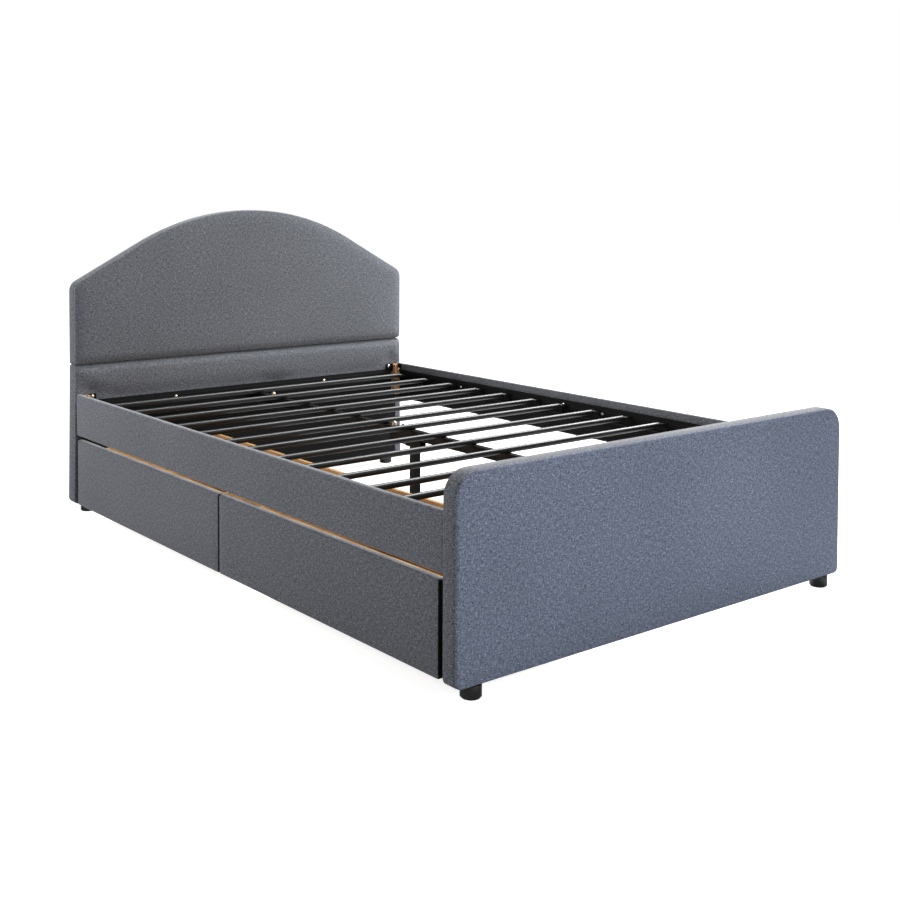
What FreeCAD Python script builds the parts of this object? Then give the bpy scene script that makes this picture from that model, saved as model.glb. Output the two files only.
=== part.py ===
import FreeCAD, Part
import math
import os
import re
import Sketcher

# Upholstered platform bed with two storage drawers on its left side.
# Frame: +Z up from the floor, +Y towards the headboard, +X to the right as seen
# from the foot end. The origin is on the floor under the middle of the bed.
# All sizes are in millimetres.

doc = FreeCAD.newDocument("platform_bed")
sheet = doc.addObject("Spreadsheet::Sheet", "dims")

DIMENSIONS = {
    # overall
    "bed_length": 2116,
    "ground_gap": 32,
    # headboard
    "headboard_width": 1416,
    "headboard_depth": 56,
    "headboard_peak": 1051,
    "shoulder_height": 797,
    "shoulder_slope": 0.6,
    "arch_radius": 940,
    "shoulder_round": 42,
    "split_height": 517,
    "split_gap": 4,
    "board_depth": 18,
    "board_inset": 8,
    "rear_cloth": 4,
    "lining_top": 392,
    "lining_bottom": 50,
    "lining_depth": 3,
    "lining_margin": 24,
    # footboard
    "footboard_width": 1430,
    "footboard_depth": 52,
    "footboard_height": 511,
    "footboard_round": 60,
    "footboard_pad": 18,
    "footboard_cloth": 4,
    # feet
    "foot_radius": 25,
    "foot_bevel": 4,
    "foot_x": 654,
    "foot_y": 1029,
    # side rails
    "rail_face": 704,
    "rail_top": 416,
    "rail_bottom": 273,
    "skin": 4,
    "turn": 3,
    "rail_board": 12,
    "lining": 1.5,
    "flap": 25,
    # steel base
    "steel_wall": 3,
    "angle_leg": 30,
    "angle_web": 34,
    "seat_height": 349,
    "base_joint": 85,
    "joint_gap": 2,
    "bar_height": 50,
    "bar_seat": 334,
    "beam_width": 20,
    "beam_height": 30,
    "beam_wall": 1.5,
    "splice_wall": 2,
    "splice_height": 50,
    "splice_foot": -40,
    "splice_head": 120,
    "leg_width": 25,
    "leg_plate": 70,
    "glide_height": 20,
    "glide_edge": 3,
    # tubular slats
    "slat_radius": 9,
    "slat_wall": 1.2,
    "slat_axis": 373,
    "slat_half": 650,
    "pressed_start": 669,
    "pressed_end": 683,
    "pressed_width": 24,
    "pressed_depth": 8,
    "slat_hole": 3.2,
    "slat_bolt": 676.3,
    # corner joints
    "block_width": 25,
    "block_bottom": 290,
    "block_top": 412,
    "bracket_wall": 2,
    "long_arm": 29,
    "short_arm": 12,
    "bracket_bottom": 382,
    "bracket_top": 414,
    # drawers
    "front_length": 988,
    "front_depth": 18,
    "front_top": 258,
    "front_clearance": 26,
    "front_gap": 3,
    "box_offset": 6,
    "box_length": 805,
    "box_depth": 436,
    "box_wall": 12,
    "box_top": 256,
    "box_base": 50,
    "base_wall": 8,
    # drawer casters
    "wheel_radius": 18,
    "wheel_width": 15,
    "hub_radius": 7.2,
    "dish_start": 9,
    "dish_end": 13.5,
    "rim_start": 14.8,
    "dish_depth": 2,
    "rim_bevel": 1,
    "axle_radius": 3,
    "axle_clearance": 0.1,
    "fork_wall": 3,
    "fork_gap": 18,
    "fork_length": 40,
    "cheek_length": 22,
    "cheek_below": 7,
    "plate_width": 46,
    "caster_front": 112,
    "caster_back": 60,
    "caster_side": 70,
}

for row, (alias, size) in enumerate(DIMENSIONS.items(), start=1):
    sheet.set("A%d" % row, alias)
    sheet.set("B%d" % row, str(size))
    sheet.setAlias("B%d" % row, alias)
doc.recompute()

# from the headboard's front face to the first slat's centre, then from slat to slat
SLAT_STEPS = [64, 163, 155, 159, 150, 160, 134, 158, 142, 153, 149, 133, 152]
# the one slat that is bolted down, next to the joint of the frame's two halves
BOLTED_SLAT = 7

# bolts: their own sizes, and how far each row is from the headboard's front face
BOLT_HEAD_RADIUS = 6.5
BOLT_HEAD_HEIGHT = 4
BOLT_SHANK_RADIUS = 3
BOLT_SHANK_LENGTH = 14
SLAT_BOLT_LENGTH = 31
SPACER_RADIUS = 8
SPACER_HEIGHT = 10
WEB_BOLTS = [419, 1164, 1802]
BEAM_BOLTS = [150, 892, 942, 1844]
BAR_BOLT_X = 325
BAR_BOLT_DROP = 11
BRACKET_BOLT_RISE = 7

# how close an edge must lie to the height it is looked for at
CLOSE = 1

RAIL_ENDS = ("-bed_length / 2 + footboard_depth", "bed_length / 2 - headboard_depth")
MIDDLE_Y = "(footboard_depth - headboard_depth) / 2"
INNER_FACE = "(rail_face - skin - rail_board - lining)"

nodes = []


def linked(text):
    """An expression in which every dimension's name points at the sheet."""
    def point(match):
        word = match.group(0)
        return "dims." + word if word in DIMENSIONS else word
    return re.sub(r"[a-z_]+", point, text)


def bind(item, prop, text):
    item.setExpression(prop, linked(text))


def number(text):
    """The present value of an expression."""
    result = sheet.evalExpression(linked(text).replace("dims.", ""))
    return float(getattr(result, "Value", result))


def place(item, x="0", y="0", z="0"):
    for axis, text in (("x", x), ("y", y), ("z", z)):
        bind(item, "Placement.Base." + axis, text)


def node(item, label):
    item.Label = label
    nodes.append(item)
    return item


def box(name, x, y, z):
    """A box between two expressions along each axis."""
    item = doc.addObject("Part::Box", name)
    for prop, (low, high) in (("Length", x), ("Width", y), ("Height", z)):
        bind(item, prop, "(%s) - (%s)" % (high, low))
    place(item, x[0], y[0], z[0])
    return item


def cut(name, base, tool):
    item = doc.addObject("Part::Cut", name)
    item.Base = base
    item.Tool = tool
    return item


def joined(name, items):
    item = doc.addObject("Part::Compound", name)
    item.Links = items
    return item


def mirror(name, source, normal):
    item = doc.addObject("Part::Mirroring", name)
    item.Source = source
    item.Normal = FreeCAD.Vector(*normal)
    bind(item, "Base.y", MIDDLE_Y)
    return item


def four_corners(name, source):
    """A piece in the head-right corner and its copies in the other three."""
    right = joined(name + "_right", [source, mirror(name + "_foot_side", source, (0, 1, 0))])
    return joined(name, [right, mirror(name + "_left", right, (1, 0, 0))])


def new_body(name):
    return doc.addObject("PartDesign::Body", name)


def new_sketch(body, role, name, offset=None):
    """A sketch on one of the body's own origin planes, moved along its normal."""
    sketch = body.newObject("Sketcher::SketchObject", name)
    plane = [f for f in body.Origin.OriginFeatures if f.Role == role][0]
    sketch.AttachmentSupport = [(plane, "")]
    sketch.MapMode = "FlatFace"
    if offset:
        bind(sketch, "AttachmentOffset.Base.z", offset)
    return sketch


def pin_point(sketch, geometry, end, x, y):
    """Hold a point of the sketch at two expressions."""
    for kind, text in (("DistanceX", x), ("DistanceY", y)):
        if text == "0":
            axis = -2 if kind == "DistanceX" else -1
            sketch.addConstraint(Sketcher.Constraint("PointOnObject", geometry, end, axis))
            continue
        index = sketch.addConstraint(Sketcher.Constraint(kind, -1, 1, geometry, end, number(text)))
        bind(sketch, "Constraints[%d]" % index, text)


def add_polygon(sketch, points):
    """A closed outline whose corners are pairs of expressions."""
    corners = [FreeCAD.Vector(number(x), number(y), 0) for x, y in points]
    count = len(points)
    first = sketch.GeometryCount
    for i in range(count):
        sketch.addGeometry(Part.LineSegment(corners[i], corners[(i + 1) % count]), False)
    for i in range(count):
        following = first + (i + 1) % count
        sketch.addConstraint(Sketcher.Constraint("Coincident", first + i, 2, following, 1))
    for i, (x, y) in enumerate(points):
        pin_point(sketch, first + i, 1, x, y)


def add_rectangle(sketch, x, y):
    add_polygon(sketch, [(x[0], y[0]), (x[1], y[0]), (x[1], y[1]), (x[0], y[1])])


def add_circle(sketch, x, y, radius):
    centre = FreeCAD.Vector(number(x), number(y), 0)
    index = sketch.addGeometry(Part.Circle(centre, FreeCAD.Vector(0, 0, 1), number(radius)), False)
    pin_point(sketch, index, 3, x, y)
    constraint = sketch.addConstraint(Sketcher.Constraint("Radius", index, number(radius)))
    bind(sketch, "Constraints[%d]" % constraint, radius)


def pad(body, sketch, name, length, reversed_pad=False, midplane=False):
    item = body.newObject("PartDesign::Pad", name)
    item.Profile = sketch
    bind(item, "Length", length)
    item.Reversed = reversed_pad
    item.Midplane = midplane
    return item


def through_pocket(body, sketch, name, length):
    """A pocket cut to both sides of its sketch."""
    item = body.newObject("PartDesign::Pocket", name)
    item.Profile = sketch
    bind(item, "Length", length)
    item.Midplane = True
    return item


def fillet(body, base, name, radius, wanted):
    """Round those edges of a feature whose middle point passes a test."""
    doc.recompute()
    picked = []
    for i, edge in enumerate(base.Shape.Edges, start=1):
        if wanted(edge):
            picked.append("Edge%d" % i)
    item = body.newObject("PartDesign::Fillet", name)
    item.Base = (base, picked)
    bind(item, "Radius", radius)
    return item


def along(edge, direction):
    """True for a straight edge parallel to a direction."""
    if not isinstance(edge.Curve, Part.Line):
        return False
    return abs(edge.Curve.Direction.dot(FreeCAD.Vector(*direction))) > 0.999


# ---------------------------------------------------------------- headboard

def arched_plate(name, bottom, depth, inset, front):
    """A plate with the headboard's outline: upright sides, straight shoulders
    and a round arch that they run into. Inset shrinks the outline evenly."""
    body = new_body(name)
    sketch = new_sketch(body, "XZ_Plane", name + "_outline")
    half = "headboard_width / 2 - %s" % inset
    shoulder = "shoulder_height - shoulder_slope * %s" % inset
    peak = "headboard_peak - %s" % inset
    radius = "arch_radius - %s" % inset

    # the straight shoulder touches the arch where the line from the corner is a tangent
    centre = FreeCAD.Vector(0, number(peak) - number(radius), 0)
    corner = FreeCAD.Vector(number(half), number(shoulder), 0)
    reach = corner - centre
    turn = math.atan2(reach.y, reach.x) + math.acos(number(radius) / reach.Length)
    touch = centre + FreeCAD.Vector(math.cos(turn), math.sin(turn), 0) * number(radius)

    low_right = FreeCAD.Vector(number(half), number(bottom), 0)
    low_left = FreeCAD.Vector(-number(half), number(bottom), 0)
    corner_left = FreeCAD.Vector(-corner.x, corner.y, 0)
    touch_left = FreeCAD.Vector(-touch.x, touch.y, 0)
    sketch.addGeometry(Part.LineSegment(low_left, low_right), False)
    sketch.addGeometry(Part.LineSegment(low_right, corner), False)
    sketch.addGeometry(Part.LineSegment(corner, touch), False)
    arch = Part.Circle(centre, FreeCAD.Vector(0, 0, 1), number(radius))
    sketch.addGeometry(Part.ArcOfCircle(arch, turn, math.pi - turn), False)
    sketch.addGeometry(Part.LineSegment(touch_left, corner_left), False)
    sketch.addGeometry(Part.LineSegment(corner_left, low_left), False)
    for first, end, second, start in ((0, 2, 1, 1), (1, 2, 2, 1), (4, 2, 5, 1), (5, 2, 0, 1)):
        sketch.addConstraint(Sketcher.Constraint("Coincident", first, end, second, start))
    sketch.addConstraint(Sketcher.Constraint("Tangent", 2, 2, 3, 1))
    sketch.addConstraint(Sketcher.Constraint("Tangent", 3, 2, 4, 1))
    pin_point(sketch, 1, 1, half, bottom)
    pin_point(sketch, 0, 1, "-(%s)" % half, bottom)
    pin_point(sketch, 2, 1, half, shoulder)
    pin_point(sketch, 5, 1, "-(%s)" % half, shoulder)
    pin_point(sketch, 3, 3, "0", "%s - (%s)" % (peak, radius))
    index = sketch.addConstraint(Sketcher.Constraint("Radius", 3, number(radius)))
    bind(sketch, "Constraints[%d]" % index, radius)

    plate = pad(body, sketch, name + "_plate", depth, reversed_pad=True)
    fillet(body, plate, name + "_shoulders", "shoulder_round - %s" % inset,
           lambda e: along(e, (0, 1, 0)) and abs(e.CenterOfMass.z - corner.y) < CLOSE)
    place(body, y=front)
    return body


def build_headboard(bolts):
    front = "bed_length / 2 - headboard_depth"
    pad_depth = "headboard_depth - board_depth - rear_cloth"
    board_front = "bed_length / 2 - rear_cloth - board_depth"

    node(arched_plate("headboard_panel", "ground_gap + board_inset", "board_depth",
                      "board_inset", board_front), "headboard_panel")
    node(arched_plate("headboard_upper_pad", "split_height + split_gap / 2", pad_depth,
                      "0", front), "headboard_upper_pad")
    node(arched_plate("headboard_rear_cover", "ground_gap", "rear_cloth", "0",
                      "bed_length / 2 - rear_cloth"), "headboard_rear_cover")

    # the lower pad runs down to the bottom; its face below the mattress is black cloth
    half = "headboard_width / 2"
    slab = box("lower_slab", ("-" + half, half), (front, front + " + " + pad_depth),
               ("ground_gap", "split_height - split_gap / 2"))
    lining_x = "(headboard_width / 2 - lining_margin)"
    lining_space = (("-" + lining_x, lining_x), (front, front + " + lining_depth"),
                    ("lining_bottom", "lining_top"))
    recess = box("lining_recess", *lining_space)
    node(cut("lower_pad_drilled", cut("lower_pad_cut", slab, recess), bolts), "headboard_lower_pad")
    lining = box("headboard_lining_box", *lining_space)
    node(cut("headboard_lining_drilled", lining, bolts), "headboard_inner_lining")


# ---------------------------------------------------------------- footboard

def round_top_plate(name, depth, inset, front):
    """A plate as wide as the footboard, its two top corners rounded."""
    body = new_body(name)
    sketch = new_sketch(body, "XZ_Plane", name + "_outline")
    half = "footboard_width / 2 - %s" % inset
    top = "footboard_height - %s" % inset
    add_rectangle(sketch, ("-(%s)" % half, half), ("ground_gap + %s" % inset, top))
    plate = pad(body, sketch, name + "_plate", depth, reversed_pad=True)
    fillet(body, plate, name + "_corners", "footboard_round - %s" % inset,
           lambda e: along(e, (0, 1, 0)) and e.CenterOfMass.z > number(top) - CLOSE)
    place(body, y=front)
    return body


def build_footboard(bolts):
    outer = "-bed_length / 2"
    inner = "-bed_length / 2 + footboard_depth"
    core_depth = "footboard_depth - footboard_pad - footboard_cloth"
    node(round_top_plate("footboard_front_pad", "footboard_pad", "0", outer), "footboard_front_pad")
    core = round_top_plate("footboard_core", core_depth, "board_inset", outer + " + footboard_pad")
    cloth = round_top_plate("footboard_cloth_plate", "footboard_cloth", "0", inner + " - footboard_cloth")
    node(cut("footboard_core_drilled", core, bolts), "footboard_panel")
    node(cut("footboard_cloth_drilled", cloth, bolts), "footboard_inner_cover")


def build_feet():
    """Four round plastic feet, each a turned shape with a small bevel at the floor."""
    body = new_body("foot")
    sketch = new_sketch(body, "XZ_Plane", "foot_profile")
    add_polygon(sketch, [("0", "0"), ("foot_radius - foot_bevel", "0"), ("foot_radius", "foot_bevel"),
                         ("foot_radius", "ground_gap"), ("0", "ground_gap")])
    turned = body.newObject("PartDesign::Revolution", "foot_turned")
    turned.Profile = sketch
    turned.ReferenceAxis = (sketch, ["V_Axis"])
    turned.Angle = 360
    place(body, "foot_x", "foot_y", "0")
    node(four_corners("feet_set", body), "bed_feet")


# ---------------------------------------------------------------- side rails

def build_rails(bolts):
    """Each rail is a plywood board in a cloth cover that turns over its top and bottom
    edges; a black lining closes the inner face from the top turn down to the bottom."""
    board_x = ("rail_face - skin - rail_board", "rail_face - skin")
    board_z = ("rail_bottom + turn", "rail_top - turn")
    lining_x = (INNER_FACE, board_x[0])
    lining_z = ("rail_bottom + turn", "rail_top - flap")

    board = box("rail_board_box", board_x, RAIL_ENDS, board_z)
    lining = box("rail_lining_box", lining_x, RAIL_ENDS, lining_z)
    sleeve = box("rail_sleeve_box", (INNER_FACE, "rail_face"), RAIL_ENDS, ("rail_bottom", "rail_top"))
    hollow = cut("rail_sleeve_hollow", sleeve, box("rail_core_box", board_x, RAIL_ENDS, board_z))
    cover = cut("rail_cover_cut", hollow, box("rail_slot_box", lining_x, RAIL_ENDS, lining_z))

    for side, pieces in (("right", (board, cover)),
                         ("left", (mirror("left_board", board, (1, 0, 0)),
                                   mirror("left_cover", cover, (1, 0, 0))))):
        node(cut(side + "_board_drilled", pieces[0], bolts), side + "_rail_board")
        node(cut(side + "_cover_drilled", pieces[1], bolts), side + "_rail_cover")
    pair = joined("lining_pair", [lining, mirror("left_lining", lining, (1, 0, 0))])
    node(cut("linings_drilled", pair, bolts), "rail_linings")


# ---------------------------------------------------------------- steel base

def angle_half(name, start, end):
    """A length of steel angle on the right rail's inner face, open towards the middle."""
    body = new_body(name)
    sketch = new_sketch(body, "XZ_Plane", name + "_section")
    edge = INNER_FACE + " - angle_leg"
    web = INNER_FACE + " - steel_wall"
    low = "seat_height - steel_wall"
    add_polygon(sketch, [(edge, low), (INNER_FACE, low), (INNER_FACE, low + " + angle_web"),
                         (web, low + " + angle_web"), (web, "seat_height"), (edge, "seat_height")])
    pad(body, sketch, name + "_length", "(%s) - (%s)" % (end, start), reversed_pad=True)
    place(body, y=start)
    return body


def build_side_angles(bolts):
    foot_end = RAIL_ENDS[0] + " + block_width + bracket_wall"
    head_end = RAIL_ENDS[1] + " - block_width - bracket_wall"
    foot_half = angle_half("angle_foot", foot_end, "base_joint - joint_gap / 2")
    head_half = angle_half("angle_head", "base_joint + joint_gap / 2", head_end)
    right = joined("angles_right", [foot_half, head_half])
    left = mirror("angles_left", right, (1, 0, 0))
    node(cut("angles_right_drilled", right, bolts), "right_side_angles")
    node(cut("angles_left_drilled", left, bolts), "left_side_angles")


def build_cross_bars(bolts):
    """A steel angle across the head end and one across the foot end; the centre
    beam's ends rest on their lower flanges."""
    half = "(%s - block_width - bracket_wall)" % INNER_FACE
    across = ("-" + half, half)
    bars = []
    for name, wall_y, flange_y in (
            ("head", (RAIL_ENDS[1] + " - steel_wall", RAIL_ENDS[1]),
             (RAIL_ENDS[1] + " - angle_leg", RAIL_ENDS[1])),
            ("foot", (RAIL_ENDS[0], RAIL_ENDS[0] + " + steel_wall"),
             (RAIL_ENDS[0], RAIL_ENDS[0] + " + angle_leg"))):
        web = box(name + "_bar_web", across, wall_y, ("bar_seat", "bar_seat + bar_height - steel_wall"))
        flange = box(name + "_bar_flange", across, flange_y, ("bar_seat - steel_wall", "bar_seat"))
        bar = doc.addObject("Part::Fuse", name + "_bar")
        bar.Base = web
        bar.Tool = flange
        bars.append(bar)
    node(cut("bars_drilled", joined("bar_pair", bars), bolts), "cross_bars")


def square_tube(name, role, width, height, wall, length, reversed_pad):
    """A rectangular tube centred on the body's axis."""
    body = new_body(name)
    sketch = new_sketch(body, role, name + "_section")
    add_rectangle(sketch, ("-(%s) / 2" % width, "(%s) / 2" % width),
                  ("-(%s) / 2" % height, "(%s) / 2" % height))
    if wall:
        add_rectangle(sketch, ("-(%s) / 2 + %s" % (width, wall), "(%s) / 2 - %s" % (width, wall)),
                      ("-(%s) / 2 + %s" % (height, wall), "(%s) / 2 - %s" % (height, wall)))
    pad(body, sketch, name + "_length", length, reversed_pad=reversed_pad)
    return body


def build_centre_beam(bolts):
    foot_end = RAIL_ENDS[0] + " + steel_wall"
    head_end = RAIL_ENDS[1] + " - steel_wall"
    axis = "bar_seat + beam_height / 2"
    joint_low = "base_joint - joint_gap / 2"
    joint_high = "base_joint + joint_gap / 2"
    for name, start, end in (("centre_beam_foot", foot_end, joint_low),
                             ("centre_beam_head", joint_high, head_end)):
        beam = square_tube(name + "_tube", "XZ_Plane", "beam_width", "beam_height", "beam_wall",
                           "(%s) - (%s)" % (end, start), True)
        place(beam, "0", start, axis)
        node(cut(name + "_drilled", beam, bolts), name)

    # a deeper steel channel holds the two halves in line and stands on the centre leg
    top = "bar_seat + beam_height"
    span = ("splice_foot", "splice_head")
    outer = box("splice_outer", ("-beam_width / 2 - splice_wall", "beam_width / 2 + splice_wall"),
                span, (top + " - splice_height", top))
    inner = box("splice_inner", ("-beam_width / 2", "beam_width / 2"),
                span, (top + " - splice_height + splice_wall", top))
    node(cut("splice_cut", outer, inner), "centre_beam_splice")


def build_centre_leg():
    """A square tube leg under the splice, with a welded plate on top and a plastic glide."""
    tube_length = "bar_seat + beam_height - splice_height - steel_wall - glide_height"
    leg = square_tube("centre_leg", "XY_Plane", "leg_width", "leg_width", "beam_wall",
                      tube_length, False)
    plate = new_sketch(leg, "XY_Plane", "leg_plate_outline", tube_length)
    add_rectangle(plate, ("-leg_width / 2", "leg_width / 2"), ("-leg_plate / 2", "leg_plate / 2"))
    pad(leg, plate, "leg_plate_pad", "steel_wall")
    place(leg, "0", "0", "glide_height")
    node(leg, "centre_leg")

    width = "leg_width + glide_edge"
    glide = square_tube("centre_leg_glide", "XY_Plane", width, width, None, "glide_height", False)
    fillet(glide, glide.Tip, "glide_corners", "glide_edge", lambda e: along(e, (0, 0, 1)))
    node(glide, "centre_leg_glide")


def build_slat(index, distance):
    """A steel tube slat; its ends are pressed down to a low oblong and meet the side angles."""
    label = "slat_%02d" % index
    body = new_body(label)

    ring = new_sketch(body, "YZ_Plane", label + "_ring")
    add_circle(ring, "0", "0", "slat_radius")
    add_circle(ring, "0", "0", "slat_radius - slat_wall")
    pad(body, ring, label + "_tube", "2 * slat_half", midplane=True)

    round_end = new_sketch(body, "YZ_Plane", label + "_round_end", "slat_half")
    add_circle(round_end, "0", "0", "slat_radius")
    flat_end = new_sketch(body, "YZ_Plane", label + "_flat_end", "pressed_start")
    section = (("-pressed_width / 2", "pressed_width / 2"), ("-pressed_depth / 2", "pressed_depth / 2"))
    add_rectangle(flat_end, *section)
    pressed = body.newObject("PartDesign::AdditiveLoft", label + "_pressed")
    pressed.Profile = round_end
    pressed.Sections = [flat_end]
    pressed.Ruled = True

    tip_sketch = new_sketch(body, "YZ_Plane", label + "_tip_section", "pressed_start")
    add_rectangle(tip_sketch, *section)
    tip = pad(body, tip_sketch, label + "_tip", "pressed_end - pressed_start")
    mirrored = body.newObject("PartDesign::Mirrored", label + "_other_end")
    mirrored.Originals = [pressed, tip]
    plane = [f for f in body.Origin.OriginFeatures if f.Role == "YZ_Plane"][0]
    mirrored.MirrorPlane = (plane, [""])
    body.Tip = mirrored

    if index == BOLTED_SLAT:
        holes = new_sketch(body, "XY_Plane", label + "_holes")
        add_circle(holes, "slat_bolt", "0", "slat_hole")
        add_circle(holes, "-slat_bolt", "0", "slat_hole")
        through_pocket(body, holes, label + "_drilled", "2 * pressed_depth")
    place(body, "0", "%s - %g" % (RAIL_ENDS[1], distance), "slat_axis")
    node(body, label)


def build_slats():
    distance = 0
    for index, step in enumerate(SLAT_STEPS, start=1):
        distance += step
        build_slat(index, distance)


# ---------------------------------------------------------------- corner joints

def bolt_shape(spot, direction, length=BOLT_SHANK_LENGTH, spacer=0):
    """A domed bolt: its head stands on the spot, or on a spacer there, and its shank runs
    the other way."""
    half = BOLT_HEAD_RADIUS
    rise = BOLT_HEAD_HEIGHT
    dome_radius = (half ** 2 + rise ** 2) / (2 * rise)
    sphere = Part.makeSphere(dome_radius, FreeCAD.Vector(0, 0, spacer + rise - dome_radius))
    keep = Part.makeCylinder(half, rise, FreeCAD.Vector(0, 0, spacer))
    shank = Part.makeCylinder(BOLT_SHANK_RADIUS, length + spacer, FreeCAD.Vector(0, 0, -length))
    bolt = sphere.common(keep).fuse(shank)
    if spacer:
        bolt = bolt.fuse(Part.makeCylinder(SPACER_RADIUS, spacer))
    bolt = bolt.removeSplitter()
    turn = FreeCAD.Rotation(FreeCAD.Vector(0, 0, 1), FreeCAD.Vector(*direction))
    bolt.Placement = FreeCAD.Placement(FreeCAD.Vector(*spot), turn)
    return bolt


def build_bolts():
    """All the bolts of the frame: two at each corner block, a row through each side angle,
    a pair in each cross bar, a row on the centre beam, and two that hold one slat down."""
    inner = number(INNER_FACE)
    head_end = number(RAIL_ENDS[1])
    block = number("block_width")
    wall = number("bracket_wall")
    bracket_z = number("bracket_bottom + bracket_top") / 2
    web_x = inner - number("steel_wall")
    web_z = number("seat_height + angle_web / 2")
    bar_z = number("bar_seat + bar_height") - BAR_BOLT_DROP
    beam_top = number("bar_seat + beam_height")
    bolts = []
    for towards, end in ((1, head_end), (-1, number(RAIL_ENDS[0]))):
        facing = (0, -towards, 0)
        for side in (1, -1):
            arm_x = side * (inner - block - number("long_arm") / 2)
            block_x = side * (inner - number("short_arm") / 2)
            bolts += [
                bolt_shape((arm_x, end - towards * wall, bracket_z + BRACKET_BOLT_RISE), facing),
                bolt_shape((block_x, end - towards * (block + wall), bracket_z - BRACKET_BOLT_RISE), facing),
                bolt_shape((side * BAR_BOLT_X, end - towards * number("steel_wall"), bar_z), facing),
            ]
    for side in (1, -1):
        for distance in WEB_BOLTS:
            bolts.append(bolt_shape((side * web_x, head_end - distance, web_z), (-side, 0, 0)))
        slat_y = head_end - sum(SLAT_STEPS[:BOLTED_SLAT])
        slat_top = number("slat_axis + pressed_depth / 2")
        bolts.append(bolt_shape((side * number("slat_bolt"), slat_y, slat_top), (0, 0, 1), SLAT_BOLT_LENGTH))
    for distance in BEAM_BOLTS:
        bolts.append(bolt_shape((0, head_end - distance, beam_top), (0, 0, 1), spacer=SPACER_HEIGHT))
    feature = doc.addObject("Part::Feature", "bolt_set")
    feature.Shape = Part.makeCompound(bolts)
    return node(feature, "frame_bolts")


def strap(name, outline):
    """A flat steel strap bent to an outline, seen from above, round the head-right block."""
    body = new_body(name)
    sketch = new_sketch(body, "XY_Plane", name + "_outline")
    add_polygon(sketch, outline)
    pad(body, sketch, name + "_height", "bracket_top - bracket_bottom")
    place(body, INNER_FACE, RAIL_ENDS[1], "bracket_bottom")
    return body


def build_corners(bolts):
    """A wooden block in each corner between two steel straps: one on the head or footboard
    and the block's side, one on the rail and the block's face."""
    inner_x = INNER_FACE + " - block_width"
    inner_y = "(%s) - block_width" % RAIL_ENDS[1]
    block = box("corner_block", (inner_x, INNER_FACE), (inner_y, RAIL_ENDS[1]), ("block_bottom", "block_top"))
    node(cut("blocks_drilled", four_corners("block_set", block), bolts), "corner_blocks")

    side = "-block_width"
    folded = "-(block_width + bracket_wall)"
    long_end = "-(block_width + long_arm)"
    short_end = "-(block_width + short_arm)"
    board_strap = strap("board_strap", [
        (long_end, "0"), (long_end, "-bracket_wall"), (folded, "-bracket_wall"),
        (folded, "-short_arm"), (side, "-short_arm"), (side, "0")])
    rail_strap = strap("rail_strap", [
        ("0", short_end), ("0", side), ("-short_arm", side), ("-short_arm", folded),
        ("-bracket_wall", folded), ("-bracket_wall", short_end)])
    straps = four_corners("strap_set", joined("corner_straps", [board_strap, rail_strap]))
    node(cut("straps_drilled", straps, bolts), "corner_brackets")


# ---------------------------------------------------------------- drawers

def build_fork(name, x, y):
    """A fixed caster's housing: a top plate and two cheeks that hold the wheel's axle."""
    body = new_body(name)
    top = "box_base - wheel_radius"
    plate = new_sketch(body, "XY_Plane", name + "_plate_outline", top + " - fork_wall")
    add_rectangle(plate, ("-fork_length / 2", "fork_length / 2"), ("-plate_width / 2", "plate_width / 2"))
    pad(body, plate, name + "_plate", "fork_wall")
    cheeks = new_sketch(body, "YZ_Plane", name + "_cheeks_section")
    for side in ("", "-"):
        near = side + "(fork_gap / 2)"
        far = side + "(fork_gap / 2 + fork_wall)"
        add_rectangle(cheeks, (near, far), ("-cheek_below", top + " - fork_wall"))
    pad(body, cheeks, name + "_cheeks", "cheek_length", midplane=True)
    hole = new_sketch(body, "XZ_Plane", name + "_axle_hole")
    add_circle(hole, "0", "0", "axle_radius + axle_clearance")
    through_pocket(body, hole, name + "_bore", "plate_width")
    place(body, x, y, "wheel_radius")
    return body


def build_wheel(label, x, y):
    """A moulded wheel with its axle stubs, turned about the Y axis."""
    body = new_body(label)
    sketch = new_sketch(body, "XY_Plane", label + "_profile")
    half = "wheel_width / 2"
    stub = "fork_gap / 2 + fork_wall"
    dished = half + " - dish_depth"
    outline = [("0", "-(%s)" % stub), ("axle_radius", "-(%s)" % stub),
               ("axle_radius", "-(%s)" % half), ("hub_radius", "-(%s)" % half),
               ("dish_start", "-(%s)" % dished), ("dish_end", "-(%s)" % dished),
               ("rim_start", "-(%s)" % half), ("wheel_radius - rim_bevel", "-(%s)" % half),
               ("wheel_radius", "-(%s - rim_bevel)" % half)]
    upper = [(a, "-(%s)" % b) for a, b in reversed(outline)]
    add_polygon(sketch, outline + upper)
    turned = body.newObject("PartDesign::Revolution", label + "_turned")
    turned.Profile = sketch
    turned.ReferenceAxis = (sketch, ["V_Axis"])
    turned.Angle = 360
    place(body, x, y, "wheel_radius")
    node(body, label)


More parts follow.
